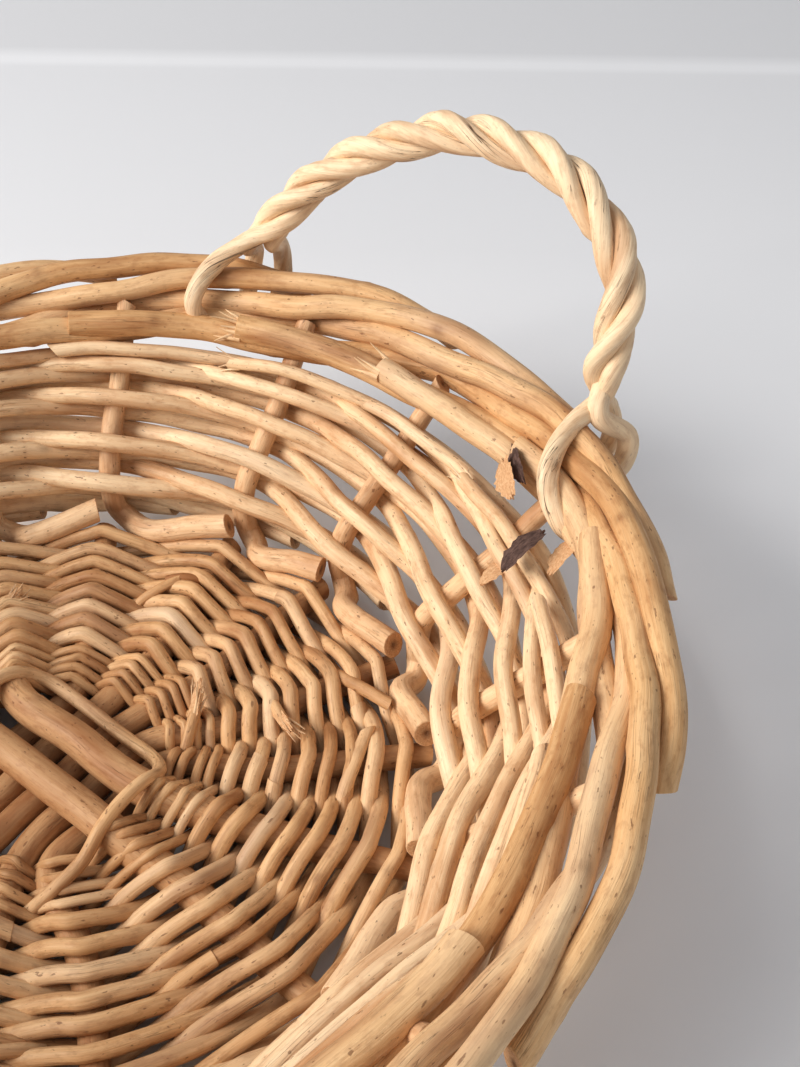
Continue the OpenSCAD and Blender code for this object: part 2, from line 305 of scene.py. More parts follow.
def rod_rings(path, radii, rng, sides, rough, knot_gap, ridges):
    """The rings of a rod with a willow's uneven skin, and the marks at its knots."""
    t, u, v = carried_frames(path)
    s = lengths_along(path)
    theta = np.linspace(0, 2 * math.pi, sides, endpoint=False)
    ring = radii * (1 + wander(s, rng, (23, 41, 77), 0.014 * rough))
    lobes = np.ones((len(s), sides))
    for k, amount in ((2, 0.026), (3, 0.012), (5, 0.006)):
        turn = wander(s, rng, (90, 160), 0.6) + rng.uniform(0, 6.28)
        lobes += amount * rough * np.cos(k * theta[None, :] + turn[:, None])
    if ridges:
        lobes += ridges * np.cos(7 * theta[None, :] + wander(s, rng, (70, 130), 1.2)[:, None])
        lobes += ridges * np.cos(4 * theta[None, :] + wander(s, rng, (50, 90), 1.5)[:, None])
    r = ring[:, None] * lobes
    mark = np.zeros_like(r)
    at = rng.uniform(0.3, 1.0) * knot_gap
    facing = rng.uniform(0, 6.28)
    while at < s[-1] - 4:
        across = (theta[None, :] - facing + math.pi) % (2 * math.pi) - math.pi
        spread = ((s[:, None] - at) / rng.uniform(1.5, 2.6)) ** 2 + (across / 0.55) ** 2
        bump = np.exp(-spread)
        r += bump * radii[:, None] * rng.uniform(0.05, 0.16) * rough
        mark = np.maximum(mark, bump * rng.uniform(0.1, 0.9))
        at += knot_gap * rng.uniform(0.6, 1.5)
        facing += rng.uniform(1.6, 3.2)
    return t, u, v, s, theta, r, mark


def end_slant(distance, r_end, slant, theta, facing):
    """How far the last few rings are pushed along the rod to make an oblique cut."""
    near = np.clip(1 - distance / (3.2 * r_end), 0, 1) ** 1.6
    return near[:, None] * slant * r_end * np.cos(theta[None, :] - facing)


def add_rod(piece, path, r_start, r_end, rng, step=1.5, sides=12, slants=(0.15, 0.15),
            rough=1.0, knot_gap=60.0, tone=None, wobble=0.25, radii=None, twist=0.0,
            ridges=0.0):
    """A rod of peeled willow along a path of control points. It tapers evenly, unless radii
    holds places from 0 to 1 along it and the radius at each. Twist turns its skin, in
    radians a millimetre."""
    path = smooth_curve(path, step * (1.0))
    t, u, v = carried_frames(path)
    s = lengths_along(path)
    fade = np.clip(np.minimum(s, s[-1] - s) / 12, 0, 1)
    path = path + (u * (wander(s, rng, (31, 57, 95), wobble) * fade)[:, None]
                   + v * (wander(s, rng, (27, 64, 110), wobble) * fade)[:, None])
    along = s / s[-1]
    radius = mix(r_start, r_end, along) if radii is None else np.interp(along, *radii)
    t, u, v, s, theta, r, mark = rod_rings(path, radius, rng, sides, rough, knot_gap, ridges)
    turned = theta[None, :] + (twist * s)[:, None]
    verts = (path[:, None, :] + r[..., None] * (np.cos(turned)[..., None] * u[:, None, :]
                                                + np.sin(turned)[..., None] * v[:, None, :]))
    lead = end_slant(s[-1] - s, radius[-1], slants[1], theta, rng.uniform(0, 6.28))
    lead -= end_slant(s, radius[0], slants[0], theta, rng.uniform(0, 6.28))
    verts = verts + lead[..., None] * t[:, None, :]
    shift = rng.uniform(-50, 50, 3)
    grain = np.stack([s[:, None] + lead + shift[0],
                      r * np.cos(theta)[None, :] + shift[1],
                      r * np.sin(theta)[None, :] + shift[2]], axis=-1)
    base_tone = rng.normal(0, 0.5) if tone is None else tone
    tones = base_tone + wander(s, rng, (45, 120, 260), 0.22)
    tones = np.repeat(tones[:, None], sides, axis=1)
    quads = [(i * sides + k, i * sides + (k + 1) % sides,
              (i + 1) * sides + (k + 1) % sides, (i + 1) * sides + k)
             for i in range(len(s) - 1) for k in range(sides)]
    piece.add(verts.reshape(-1, 3), quads, [WOOD] * len(quads), grain.reshape(-1, 3),
              tones.ravel(), mark.ravel())
    add_cap(piece, verts[0], -t[0], grain[0], tones[0], reverse=True)
    add_cap(piece, verts[-1], t[-1], grain[-1], tones[-1], reverse=False)


def add_cap(piece, ring, outward, grain, tone, reverse):
    """A cut face: a small bevel, then the end grain round a dark pith."""
    sides = len(ring)
    middle = ring.mean(0)
    size = np.linalg.norm(ring - middle, axis=1).mean()
    rings, grains = [ring], [grain]
    for scale, out in ((0.93, 0.05), (0.5, 0.045), (0.16, 0.0)):
        rings.append(middle + (ring - middle) * scale + outward * out * size)
        grains.append(grain.mean(0) + (grain - grain.mean(0)) * scale)
    verts = np.vstack(rings + [middle[None] - outward * size * 0.1])
    grains = np.vstack(grains + [grain.mean(0)[None]])
    faces, flags = [], []
    for k in range(sides):
        j = (k + 1) % sides
        for level in range(3):
            a, b = level * sides, (level + 1) * sides
            face = (a + k, a + j, b + j, b + k)
            faces.append(face[::-1] if reverse else face)
            flags.append(WOOD if level == 0 else PALE)
        face = (3 * sides + k, 3 * sides + j, 4 * sides)
        faces.append(face[::-1] if reverse else face)
        flags.append(PALE)
    mark = np.concatenate([np.zeros(2 * sides), np.full(sides, 0.2), np.full(sides, 0.9), [1.0]])
    piece.add(verts, faces, flags, grains, np.full(len(verts), tone.mean()), mark)


def add_splinters(piece, at, heading, radius, rng, count=7, length=7.0):
    """Torn fibres standing out of a broken end."""
    side = unit(np.cross(heading, UP))
    other = np.cross(heading, side)
    for _ in range(count):
        a, d = rng.uniform(0, 6.28), radius * math.sqrt(rng.uniform(0.05, 0.8))
        foot = at + side * d * math.cos(a) + other * d * math.sin(a) - heading * 2.5
        way = unit(heading + (side * math.cos(a) + other * math.sin(a)) * rng.uniform(0, 0.45))
        reach = length * rng.uniform(0.45, 1.0) + 2.5
        bend = side * rng.normal(0, 0.12) + other * rng.normal(0, 0.12)
        path = [foot + way * reach * f + bend * reach * f * f for f in (0, 0.35, 0.7, 1.0)]
        add_rod(piece, path, radius * rng.uniform(0.16, 0.34), 0.12, rng, step=0.9, sides=6,
                slants=(0, 0), rough=1.4, knot_gap=500, wobble=0.05, tone=0.9)


def add_flake(piece, start, stop, width, rng, layer=PALE, lift=0.9):
    """A torn scrap of skin or bark: a thin, dished, ragged leaf from start to stop."""
    thick, dish = 0.7, 0.35
    along = stop - start
    length = np.linalg.norm(along)
    heading = along / length
    side = unit(np.cross(heading, start * [-1, -1, 0] + UP * 90))
    out = np.cross(side, heading)
    rows, cols = 15, 9
    f = np.linspace(0, 1, rows)
    half = width / 2 * np.sin(math.pi * (0.1 + 0.84 * f)) ** 0.7
    left = half * (1 + rng.normal(0, 0.10, rows))
    right = half * (1 + rng.normal(0, 0.10, rows))
    w = np.linspace(-1, 1, cols)
    ragged = rng.normal(0, 0.035, cols) * length
    verts, grain = [], []
    for sheet in (1, -1):
        for i in range(rows):
            for k in range(cols):
                x = w[k] * (right[i] if w[k] > 0 else left[i])
                s = f[i] * length + ragged[k] * (f[i] if f[i] > 0.5 else f[i] - 1)
                rise = (dish * x * x / width + lift * math.sin(2.6 * f[i])
                        + sheet * thick / 2 * (1 - abs(w[k]) ** 3))
                verts.append(start + heading * s + side * x + out * rise)
                grain.append((s, x, rise))
    sheet_size = rows * cols
    faces = []
    for i in range(rows - 1):
        for k in range(cols - 1):
            a = i * cols + k
            faces.append((a, a + 1, a + cols + 1, a + cols))
            faces.append(tuple(v + sheet_size for v in (a, a + cols, a + cols + 1, a + 1)))
    rim = (list(range(cols)) + [i * cols + cols - 1 for i in range(1, rows)]
           + [(rows - 1) * cols + k for k in range(cols - 2, -1, -1)]
           + [i * cols for i in range(rows - 2, 0, -1)])
    for a, b in zip(rim, rim[1:] + rim[:1]):
        faces.append((b, a, a + sheet_size, b + sheet_size))
    grain = np.array(grain) + rng.uniform(-40, 40, 3)
    piece.add(np.array(verts), faces, [layer] * len(faces), grain,
              np.full(len(verts), 0.8), np.zeros(len(verts)))


# ---------------------------------------------------------------- base
def stick_bend(i):
    """Where the stick that spoke i belongs to bends away from the middle."""
    k = i % COUNT
    if is_cross(k):
        n = k - 5 if k < 7 else 13 - k
        return np.array([SLATH_SHIFT + (0.5 - n) * CROSS_PITCH, CROSS_BENDS[0 if k < 7 else 1]])
    n = k if k < 5 else 11 - k
    return np.array([STICK_BENDS[0 if k < 5 else 1], SLATH_SHIFT + (2 - n) * STICK_PITCH])


def add_stick(node, seed, i, j, z, thick, **looks):
    """A stick from the end of spoke i across the middle, where it lies at z, to spoke j."""
    first, last = ([polar(r, spoke(k), spoke_z(k, r)) for r in SPOKE_STATIONS] for k in (i, j))
    near, far = (np.array([*stick_bend(k), z]) for k in (i, j))
    radii = [0, 0.3, 0.7, 1], np.array([STICK_END_D, thick, thick, STICK_END_D]) / 2
    piece = Piece(node)
    add_rod(piece, first + [near, (near + far) / 2, far] + last[::-1], 0, 0,
            np.random.default_rng(seed), radii=radii, **looks)
    piece.build("base_sticks", STICK_MATERIALS)


def base_stick(n):
    add_stick(f"base_stick_{n + 1}", STICK_SEED + n, n, 11 - n, STICK_Z, STICK_D, sides=14,
              slants=(0.25, 0.2), knot_gap=70, tone=-0.6)


def cross_stick(n):
    add_stick(f"cross_stick_{n + 1}", CROSS_SEED + n, 5 + n, 13 - n, CROSS_Z, CROSS_D, sides=16,
              slants=(0.2, 0.2), knot_gap=55, tone=-0.5)


def slath_tie():
    """The rod that ties the cross: it loops over the far end, as the camera sees it, and
    wraps slantwise over the near end."""
    d = 4.8
    on_sticks = STICK_Z + STICK_D / 2 + d / 2
    on_cross = CROSS_Z + CROSS_D / 2 + d / 2
    piece = Piece("slath_tie")
    points = [(-16, 33, on_sticks), (-5, 37, on_cross - 2), (4, 38, on_cross - 1),
              (13, 37, on_cross - 1.5), (23, 31, on_sticks + 1), (23.5, 4, on_sticks),
              (22.5, -18, on_sticks), (17.5, -25.5, on_cross - 5), (10.5, -27.3, on_cross),
              (0, -27.6, on_cross), (-8, -28, on_cross - 2), (-17, -28.8, on_cross - 7.5),
              (-26, -27.5, on_sticks), (-35, -23, STICK_Z)]
    add_rod(piece, points, d / 2, d / 2 - 0.3, np.random.default_rng(TIE_SEED), step=1.0,
            knot_gap=40, tone=0.2)
    piece.build("base_weavers", WEAVER_MATERIALS)


def ring_radius(m, r, pitch):
    """A row keeps its radius most of the way round, then steps out to the next one."""
    lap, along = divmod(m - STEP_SPOKE, COUNT)
    return r + pitch * (lap + clamp01((along - (COUNT - 3)) / 3))


def ring_shift(r):
    """How far a row's centre is off the middle: by the cross as far as the cross is, and
    less further out."""
    return SLATH_SHIFT * clamp01((BASE_R - r) / 70)


@functools.lru_cache(maxsize=None)
def crossing_angle(i, r):
    """Where a row's ring, round its own centre, crosses spoke i."""
    centre = ring_shift(r)
    outer = polar(SPOKE_BEND_R, spoke(i), 0)[:2] - centre
    inner = stick_bend(i) - centre
    if np.hypot(*outer) < r:
        inner, outer = outer, polar(2 * SPOKE_BEND_R, spoke(i), 0)[:2] - centre
    way = outer - inner
    a, b, c = way @ way, inner @ way, inner @ inner - r * r
    x, y = inner + way * (math.sqrt(max(0.0, b * b - a * c)) - b) / a
    angle = math.degrees(math.atan2(y, x))
    return angle + 360 * round((spoke(i) - angle) / 360)


def twined_point(m, r, d, pitch, phase, jitter):
    """A twining strand at spoke m: over one spoke, inward, under the next, outward."""
    i = math.floor(m)
    f = m - i
    turn = math.pi * (m + phase)
    up, inward = math.cos(turn), math.sin(turn)
    up = 0.6 * math.asin(up) * 2 / math.pi + 0.4 * up
    before, after = crossing_angle(i, round(r, 1)), crossing_angle(i + 1, round(r, 1))
    half = (before - after) / 2
    angle = mix(before, after, f)
    chord = math.cos(math.radians(half)) / math.cos(math.radians(half * (2 * f - 1)))
    lift = mix(spoke_radius(i, r), spoke_radius(i + 1, r), f) + d * 0.4
    z = mix(spoke_z(i, r), spoke_z(i + 1, r), f) + up * lift
    ring = r * mix(1, chord, 0.85) - inward * pitch / 4 + jitter[i % len(jitter)]
    point = polar(ring, angle, z)
    point[:2] += ring_shift(r)
    return point


def twined_rows(node, r_first, pitch, rows, d, seed, gaps_per_weaver):
    """Rows of two twined strands, spliced wherever a weaver has run out."""
    piece = Piece(node)
    rng = np.random.default_rng(seed)
    total = rows * COUNT
    for phase in (0, 1):
        jitter = rng.normal(0, 0.28, total + 3)
        start = 0.0
        while start < total - 1:
            stop = start + int(rng.integers(*gaps_per_weaver)) + rng.uniform(0.15, 0.4)
            stop = min(total, stop)
            first = max(0.0, start - 0.45)
            ms = np.arange(first, stop, 1 / POINTS_PER_GAP) + STEP_SPOKE
            points = [twined_point(m, ring_radius(m, r_first, pitch), d, pitch, phase, jitter)
                      for m in ms]
            fat = d / 2 * rng.uniform(0.9, 1.08)
            thin = fat * rng.uniform(0.82, 0.98)
            add_rod(piece, points, fat, thin, rng, step=1.3, sides=10 if d > 4 else 8,
                    slants=(0.3, 0.9), knot_gap=55, wobble=0.12)
            start = stop
    return piece


# Broken and loose weaver ends on the base, each as the radius, angle and height where it
# leaves the weave and where it ends, its thickness, and whether it's torn
LOOSE_ENDS = [
    ((79, 27, 12), (89, 19.5, 15.5), 4.0, False), ((89, 19.5, 15.4), (93, 13, 12), 3.8, False),
    ((39, -32, 12), (47.5, -19, 18), 4.2, True), ((42, -24, 12), (50, -14, 16.5), 3.4, True),
    ((70, -22, 13), (71.5, -36, 16.5), 4.2, True), ((88, -52, 12), (96.5, -41, 16.5), 4.6, False),
    ((94, -25, 13), (105, -36.5, 17), 4.6, False), ((75, 69, 12), (79, 60, 16), 4.0, True),
    ((84, -140, 12), (89, -150, 16), 4.2, False), ((66, 110, 12), (72, 119, 16), 3.8, True),
    ((98, -200, 12), (101, -210, 16.5), 4.3, False), ((58, 170, 12), (65, 180, 16), 3.6, True)]
# The radii that part the loose ends of the first rows of the outer weave from the others'
LOOSE_PARTING = (0, 76.4, 120)


def loose_ends(piece, low, high, seed):
    """Adds the loose ends whose tips are between two radii."""
    rng = np.random.default_rng(seed)
    for start, stop, d, torn in LOOSE_ENDS:
        if not low <= stop[0] < high:
            continue
        a, b = polar(*start), polar(*stop)
        heading = unit(b - a)
        path = [a - heading * 6 - UP * 3, a, mix(a, b, 0.5) + UP * 0.8, b]
        add_rod(piece, path, d / 2, d / 2 * 0.9, rng, step=1.0, sides=12, rough=1.6,
                slants=(0, 0.9), knot_gap=14, wobble=0.1)
        if torn:
            add_splinters(piece, b, heading, d / 2, rng, count=9, length=8)
            add_flake(piece, mix(a, b, 0.35), b + heading * 5 + UP * 1.5, d * 0.9, rng)


def base_weave():
    inner = twined_rows("base_weave_inner", FINE_R, FINE_PITCH, FINE_ROWS, FINE_D, FINE_SEED,
                        (16, 26))
    inner.build("base_weavers", WEAVER_MATERIALS)
    first = 0
    for n, rows in enumerate(OUTER_ROWS):
        outer = twined_rows(f"base_weave_outer_{n + 1}", OUTER_R + OUTER_PITCH * first,
                            OUTER_PITCH, rows, WEAVER_D, OUTER_SEED + n, (9, 15))
        loose_ends(outer, *LOOSE_PARTING[n:n + 2], LOOSE_SEED + n)
        outer.build("base_weavers", WEAVER_MATERIALS)
        first += rows


def closing_row():
    """One round of two twined rods at the base's edge, which the basket stands on."""
    d = 4.7
    lowest = 2.45
    piece = Piece("base_closing_row")
    rng = np.random.default_rng(CLOSING_SEED)
    for phase in (0, 1):
        jitter = rng.normal(0, 0.15, COUNT + 2)
        ms = np.arange(0, COUNT + 0.3, 1 / POINTS_PER_GAP) + STEP_SPOKE
        points = np.array([twined_point(m, BASE_R - 1.2, d, 5.5, phase, jitter) for m in ms])
        points[:, 2] = np.maximum(points[:, 2], lowest)
        add_rod(piece, points, 2.4, 2.3, rng, step=1.3, sides=12, slants=(0.3, 0.6),
                knot_gap=60, wobble=0.05)
    piece.build("base_weavers", WEAVER_MATERIALS)


# ---------------------------------------------------------------- sides
# A stake's foot: the share of the way round from its butt to its side, the distance out from
# the closing row's line, and the height over the sticks' middle
STAKE_FOOT = [(0, 5.2, 10.9), (0.24, 3, 8.9), (0.48, 1.8, 6.2), (0.7, 3, 3.6)]
# Where it turns up at the base's edge: degrees short of its side, distance out, height
STAKE_TURN = [(-3.2, 9, 0.9), (-0.6, 12.8, 3.7)]
# Its heights up the side, and the share of its lean that it has by then
STAKE_SIDE = [(45, 0.3), (62, 0.7), (STAKE_TOP_Z, 1.0)]


def stake(j):
    rng = np.random.default_rng(STAKE_SEED + j)
    top, butt = stake_angle(j), spoke(j + 1) + 0.4
    lean, stray = rng.normal(0, 0.5), rng.normal(0, 0.5)
    points = [polar(BASE_R + out, butt + (top - butt) * share + (stray if share == 0 else 0),
                    STICK_Z + up) for share, out, up in STAKE_FOOT]
    points += [polar(BASE_R + out, top + short, STICK_Z + up) for short, out, up in STAKE_TURN]
    points += [polar(wall_r(z), top, z) for z in (20, WALL_FOOT_Z)]
    points += [polar(wall_at(stake_angle(j, z), z), stake_angle(j, z) + lean * way, z)
               for z, way in STAKE_SIDE]
    piece = Piece(f"stake_{j + 1:02d}")
    add_rod(piece, points, BUTT_D / 2, STAKE_TOP_D / 2, rng, sides=14, slants=(0.22, 0.5),
            knot_gap=45, tone=rng.normal(0.2, 0.35))
    piece.build("stakes", STAKE_MATERIALS)


# A side weaver's heights as it climbs past the stakes. Its first stroke inside the wall is
# the third of them, at stake 0 of its route
CLIMB = [12, 19.5, 28, 31.6, 35.3, 39, 43.2, 47.6, 52, 55.2, 58.2, 61.1, 63, 64.6, 66]
CLIMB_STAKES = range(-2, 13)
SIDE_BUTT_AT = -2.4
# How far it stands off the wall's line: inside a stake, then outside the next two
STAND_OFF = (-6.3, 8.2, 6.4)


def side_rod(c):
    """A weaver that climbs anticlockwise, inside stake c and outside the next two."""
    rng = np.random.default_rng(SIDE_SEED + c)
    last = CLIMB_STAKES[-1] + rng.uniform(0.3, 0.5)
    points = []
    for passed in [SIDE_BUTT_AT, *CLIMB_STAKES, last]:
        z = np.interp(passed, CLIMB_STAKES, CLIMB) + rng.normal(0, 0.5)
        out = STAND_OFF[min(CLIMB_STAKES[-1], round(passed)) % 3]
        points.append(off_wall(c - passed, z, out))
    piece = Piece(f"side_rod_{c + 1:02d}")
    add_rod(piece, points, SIDE_BUTT_D / 2 * rng.uniform(0.96, 1.05),
            SIDE_TIP_D / 2 * rng.uniform(0.95, 1.08), rng, slants=(0.4, 0.8), knot_gap=60,
            wobble=0.3)
    if c % 4 == 1:
        add_splinters(piece, points[-1], unit(points[-1] - points[-2]), 2.4, rng)
    piece.build("side_weavers", WALE_MATERIALS)


# ---------------------------------------------------------------- border
# Where a border rod runs: stakes passed, distance out from the side's line, height
BORDER_ROUTE = [
    (0, -9.8, 79.5), (0.5, -7.8, 77.5), (1, -4.3, 75), (1.5, 1.7, 75.5),
    (2, 7.7, 77), (2.5, 3.7, 80.5), (3, -2.3, 85), (3.5, 0.7, 88), (4, 3.7, 89),
    (4.4, 8.2, 87.5), (4.75, 12.7, 84), (4.95, 14.7, 81.5)]
# The rods whose butts reach further back than the others', how far both reach from their
# first stake, in stakes, and the rods whose butts are torn
LONG_BUTTS, LONG_REACH, SHORT_REACH = (4, 5), -0.5, -0.27
TORN_BUTTS = (1, 2, 8, 12)
# How far a handle's foot draws the inner rods out to the others
SQUEEZE = 13
# Scraps of bark and torn skin by the border rod they hang from: both ends (radius, angle,
# height), width, material, and how far it stands off
SCRAPS = {
    2: [((160, -23, 83), (156, -28.5, 83), 6.5, BARK_LEFT_ON, 1.5),
        ((155, -24, 82), (151, -29.5, 81), 8.5, PALE, 1.2)],
    3: [((154.5, -34.8, 78), (141, -37.2, 71), 8.5, BARK_LEFT_ON, 2.0),
        ((148.5, -33.5, 63.5), (136, -34.6, 59.5), 7, PALE, 1.8),
        ((165, -36.5, 77), (154, -39, 71), 8, PALE, 1.5)],
    9: [((152, -176, 76), (146, -184, 72), 8, BARK_LEFT_ON, 1.5)]}


def border_rod(j):
    rng = np.random.default_rng(BORDER_SEED + j)
    points = []
    butt = (LONG_REACH if j in LONG_BUTTS else SHORT_REACH, -9.8, 80)
    for passed, out, z in [butt, *BORDER_ROUTE]:
        sway = rng.normal(0, 0.5, 2)
        angle = between_spokes(j + passed) - RIM_LAG
        out += SQUEEZE * squeezed(angle) * clamp01((6 - out) / 15)
        points.append(polar(wall_r(z) + out + sway[0] + rim_spread(angle), angle,
                            z + sway[1] + rim_lift(angle)))
    piece = Piece(f"border_rod_{j + 1:02d}")
    if j in TORN_BUTTS:
        add_splinters(piece, points[0], unit(points[0] - points[1]), BORDER_D / 2, rng, count=14,
                      length=9)
    for start, stop, width, layer, lift in SCRAPS.get(j, []):
        add_flake(piece, polar(*start), polar(*stop), width, rng, layer=layer, lift=lift)
    r_butt = BORDER_D / 2 * rng.uniform(0.97, 1.05)
    r_end = BORDER_D / 2 * rng.uniform(0.82, 0.92)
    add_rod(piece, points, r_butt, r_end, rng, sides=16, slants=(0.2, 0.6), knot_gap=65,
            wobble=0.35)
    piece.build("border_rods", BORDER_MATERIALS)


# ---------------------------------------------------------------- handles
# The rope's centre line over the right of the rim: across (y) and up (z)
HANDLE_LINE = [(75.9, 78.6), (70.4, 89.6), (59.4, 100.6), (48.4, 117.1), (34.1, 131.4),
               (16.5, 142.4), (-2.2, 150.1), (-22, 152.3), (-41.8, 151.2), (-56.1, 145.7),
               (-69.3, 136.9), (-75.9, 127), (-78.1, 113.8), (-79.2, 99.5), (-78.1, 84.1)]
# It leans out from a foot at this x and z by this much for each millimetre up
HANDLE_FOOT_X, HANDLE_FOOT_Z, HANDLE_LEAN = 156.0, 83.0, 0.577
# The length of one turn of the rope, how far its strands' middles are from its centre line,
# and lengths along that line: the first strand's first crest, and the twisted part's ends
ROPE_LEAD, ROPE_RADIUS = 56.0, STRAND_D * 0.56
FIRST_CREST, ROPE_FROM, ROPE_TO = 36.0, 32.0, 226.0
# The length of a strand in which its own skin turns once
SKIN_TURN = 95
# Where the strands hook round the rim, from the rope downwards: radius, angle, height
FIRST_FEET = [
    [(178, 21.5, 96), (187.5, 22, 88), (188, 22.5, 79), (181, 22.5, 72)],
    [(184, 18.5, 95), (188.5, 18.8, 86), (187, 18.8, 77), (180, 18.8, 71)],
    [(165.5, 24, 95), (159, 25.6, 90), (155.5, 26.2, 84), (157, 25.6, 77), (163, 22, 71),
     (168, 18.5, 69)]]
LAST_FEET = [
    [(190, -24.5, 95), (193, -25, 87), (191, -25.6, 78), (184, -25.5, 71)],
    [(186, -25.5, 98), (175, -26.5, 95.5), (167, -28, 93), (162, -29.6, 89),
     (159.5, -31.8, 84), (161.5, -34.3, 77.5), (167.5, -34.8, 71.5)],
    [(183, -27, 97), (192, -28, 88), (191, -28.5, 79), (184, -28.5, 71.5)]]


def rope_strand(s):
    """A strand's points along the twisted part of the handle."""
    line = [(HANDLE_FOOT_X + HANDLE_LEAN * (z - HANDLE_FOOT_Z), y, z) for y, z in HANDLE_LINE]
    centre = smooth_curve(line, 1.0)
    run = lengths_along(centre)
    way = np.gradient(centre, axis=0)
    way /= np.linalg.norm(way, axis=1)[:, None]
    away = np.array([1, 0, -HANDLE_LEAN]) / math.hypot(1, HANDLE_LEAN)
    side = np.cross(way, away)
    turn = math.pi / 2 + 2 * math.pi * ((run - FIRST_CREST) / ROPE_LEAD - s / 3)
    strand = centre + ROPE_RADIUS * (away * np.cos(turn)[:, None] + side * np.sin(turn)[:, None])
    return strand[(run > ROPE_FROM) & (run < ROPE_TO)][::4]


def handle_strand(side_name, turned, s):
    """Strand s of the right handle, or of the left one, which is the same turned half round."""
    rng = np.random.default_rng(HANDLE_SEED + s + (10 if turned else 0))
    foot = [polar(r, a, z) for r, a, z in FIRST_FEET[s]]
    far = [polar(r, a, z) for r, a, z in LAST_FEET[s]]
    points = np.array(foot[::-1] + list(rope_strand(s)) + far)
    if turned:
        points[:, :2] *= -1
    piece = Piece(f"{side_name}_handle_strand_{s + 1}")
    add_rod(piece, points, STRAND_D / 2, STRAND_D / 2, rng, step=1.2, sides=28, rough=1.5,
            knot_gap=48, wobble=0.15, tone=0.45, twist=2 * math.pi / SKIN_TURN, ridges=0.02)
    piece.build("handle_strands", HANDLE_MATERIALS)


# ---------------------------------------------------------------- materials
class Shader:
    """Short names for building a node tree."""

    def __init__(self, name):
        self.material = bpy.data.materials.new(name)
        self.material.use_nodes = True
        self.tree = self.material.node_tree
        self.tree.nodes.clear()

    def node(self, kind, inputs=(), **settings):
        n = self.tree.nodes.new(kind)
        for key, value in settings.items():
            setattr(n, key, value)
        for key, value in dict(inputs).items():
            self.put(n.inputs[key], value)
        return n

    def put(self, socket, value):
        if isinstance(value, bpy.types.NodeSocket):
            self.tree.links.new(value, socket)
        else:
            socket.default_value = value

    def attribute(self, name, output="Fac"):
        return self.node("ShaderNodeAttribute", attribute_name=name).outputs[output]

    def stretched(self, vector, along, across):
        return self.node("ShaderNodeVectorMath", {0: vector, 1: (along, across, across)},
                         operation="MULTIPLY").outputs[0]

    def noise(self, vector, detail=3.0, roughness=0.55):
        return self.node("ShaderNodeTexNoise", {"Vector": vector, "Scale": 1.0, "Detail": detail,
                                                "Roughness": roughness}).outputs["Fac"]

    def math(self, operation, a, b=0.0):
        return self.node("ShaderNodeMath", {0: a, 1: b}, operation=operation).outputs[0]

    def ramp(self, value, low, high, out_low=0.0, out_high=1.0):
        return self.node("ShaderNodeMapRange", {"Value": value, "From Min": low, "From Max": high,
                                                "To Min": out_low, "To Max": out_high}).outputs[0]

    def blend(self, factor, a, b):
        n = self.node("ShaderNodeMix", data_type="RGBA")
        self.put(n.inputs["Factor"], factor)
        self.put(n.inputs["A"], a)
        self.put(n.inputs["B"], b)
        return n.outputs["Result"]

    def surface(self, colour, roughness, bump=None, bump_depth=0.0):
        bsdf = self.node("ShaderNodeBsdfPrincipled", {
            "Base Color": colour, "Roughness": roughness, "Specular IOR Level": 0.4})
        if bump is not None:
            bumped = self.node("ShaderNodeBump", {"Height": bump, "Distance": bump_depth,
                                                  "Strength": 1.0})
            self.put(bsdf.inputs["Normal"], bumped.outputs[0])
        out = self.node("ShaderNodeOutputMaterial")
        self.tree.links.new(bsdf.outputs[0], out.inputs["Surface"])
        return self.material


def rgb(r, g, b):
    """An sRGB colour in 0-255 as a linear one."""
    def linear(c):
        c /= 255
        return c / 12.92 if c <= 0.04045 else ((c + 0.055) / 1.055) ** 2.4
    return (linear(r), linear(g), linear(b), 1.0)


